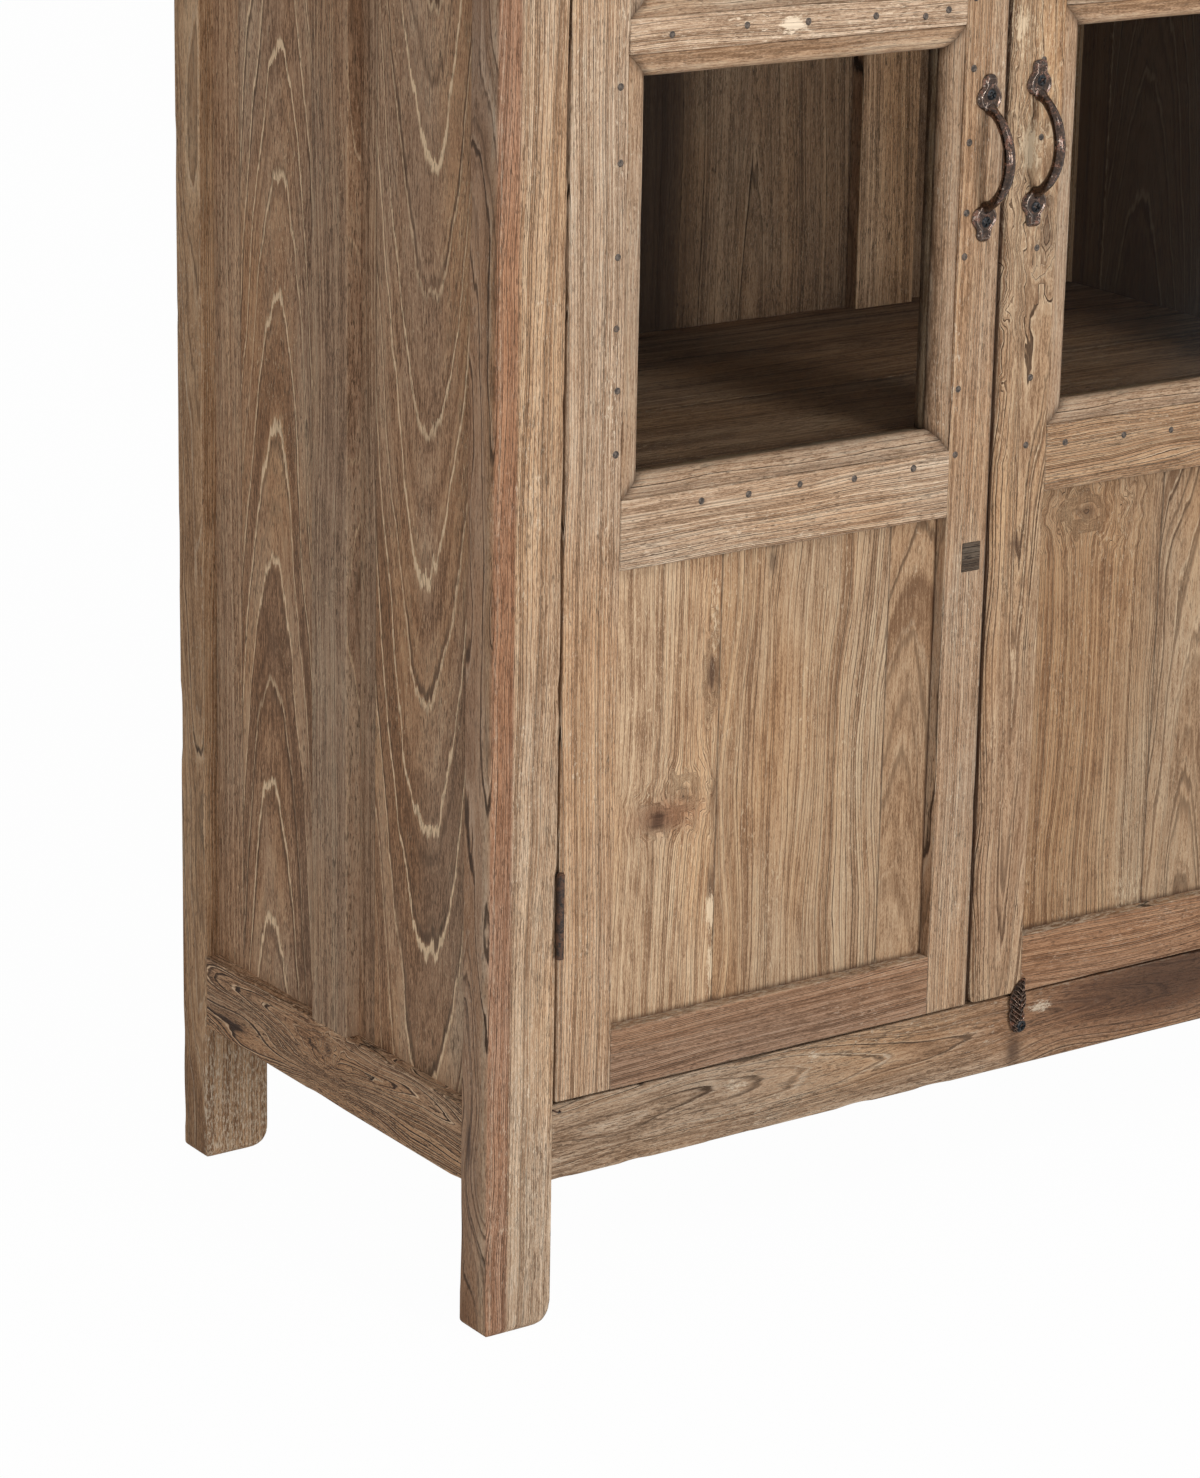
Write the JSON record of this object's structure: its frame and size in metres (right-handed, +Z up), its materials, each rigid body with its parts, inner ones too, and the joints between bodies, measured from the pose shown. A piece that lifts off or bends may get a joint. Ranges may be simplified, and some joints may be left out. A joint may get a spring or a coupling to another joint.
{
  "type": "cabinet",
  "caption": "Tall reclaimed-wood cabinet on legs, with glazed and panelled hinged doors, shelves inside, iron bow handles and a leaf-shaped turn latch.",
  "frame": {"origin": "on the floor, under the middle of the cabinet's outline with its handles", "axes": "+Z up, +X to the right of someone facing the doors, +Y from the doors to the back"},
  "size_m": [0.924, 0.481, 1.8],
  "materials": {
    "frame_wood": "bare, weathered",
    "door_wood": "bare, weathered",
    "dark_wood": "bare, darkened",
    "cast_iron": "rusty, worn",
    "rusty_steel": "rusty",
    "dark_steel": "blackened",
    "glass": "clear"
  },
  "bodies": {
    "cabinet": {"cleats": "dark_wood", "door_stops": "dark_wood", "floor_boards": "dark_wood", "hinge_pins": "dark_steel", "latch_screw": "dark_steel", "muntin_left": "frame_wood", "muntin_right": "frame_wood", "muntins_rear": "dark_wood", "panels_left": "frame_wood", "panels_rear": "dark_wood", "panels_right": "frame_wood", "post_front_left": "frame_wood", "post_front_right": "frame_wood", "post_hinge_leaves": "rusty_steel", "post_hinge_screws": "dark_steel", "post_rear_left": "frame_wood", "post_rear_right": "frame_wood", "rail_front_base": "frame_wood", "rail_front_top": "frame_wood", "rail_left_base": "frame_wood", "rail_left_top": "frame_wood", "rail_rear_base": "frame_wood", "rail_rear_top": "frame_wood", "rail_right_base": "frame_wood", "rail_right_top": "frame_wood", "shelf_1": "dark_wood", "shelf_2": "dark_wood", "shelf_3": "dark_wood", "top_boards": "frame_wood", "wire_staple": "dark_steel"},
    "latch": {"leaf_latch": "cast_iron"},
    "left_door": {"left_door_bars": "door_wood", "left_door_beads": "door_wood", "left_door_bottom_rail": "door_wood", "left_door_glass": "glass", "left_door_glass_strips": "door_wood", "left_door_hinge_leaves": "rusty_steel", "left_door_hinge_screws": "dark_steel", "left_door_hinge_stile": "door_wood", "left_door_meeting_stile": "door_wood", "left_door_middle_rail": "door_wood", "left_door_panel": "door_wood", "left_door_top_rail": "door_wood", "left_handle": "cast_iron", "left_handle_screws": "dark_steel"},
    "right_door": {"right_door_bars": "door_wood", "right_door_beads": "door_wood", "right_door_bottom_rail": "door_wood", "right_door_glass": "glass", "right_door_glass_strips": "door_wood", "right_door_hinge_leaves": "rusty_steel", "right_door_hinge_screws": "dark_steel", "right_door_hinge_stile": "door_wood", "right_door_meeting_stile": "door_wood", "right_door_middle_rail": "door_wood", "right_door_panel": "door_wood", "right_door_top_rail": "door_wood", "right_handle": "cast_iron", "right_handle_screws": "dark_steel"}
  },
  "joints": [
    {"name": "left_door_hinge", "type": "hinge", "parent": "cabinet", "child": "left_door", "pos_m": [-0.3912, -0.2128, 0.94], "axis": [0, 0, 1], "range_deg": [-110, 0]},
    {"name": "right_door_hinge", "type": "hinge", "parent": "cabinet", "child": "right_door", "pos_m": [0.3912, -0.2128, 0.94], "axis": [0, 0, 1], "range_deg": [0, 110]},
    {"name": "latch_turn", "type": "hinge", "parent": "cabinet", "child": "latch", "pos_m": [0.0535, -0.21, 0.1505], "axis": [0, 1, 0], "continuous": true}
  ]
}
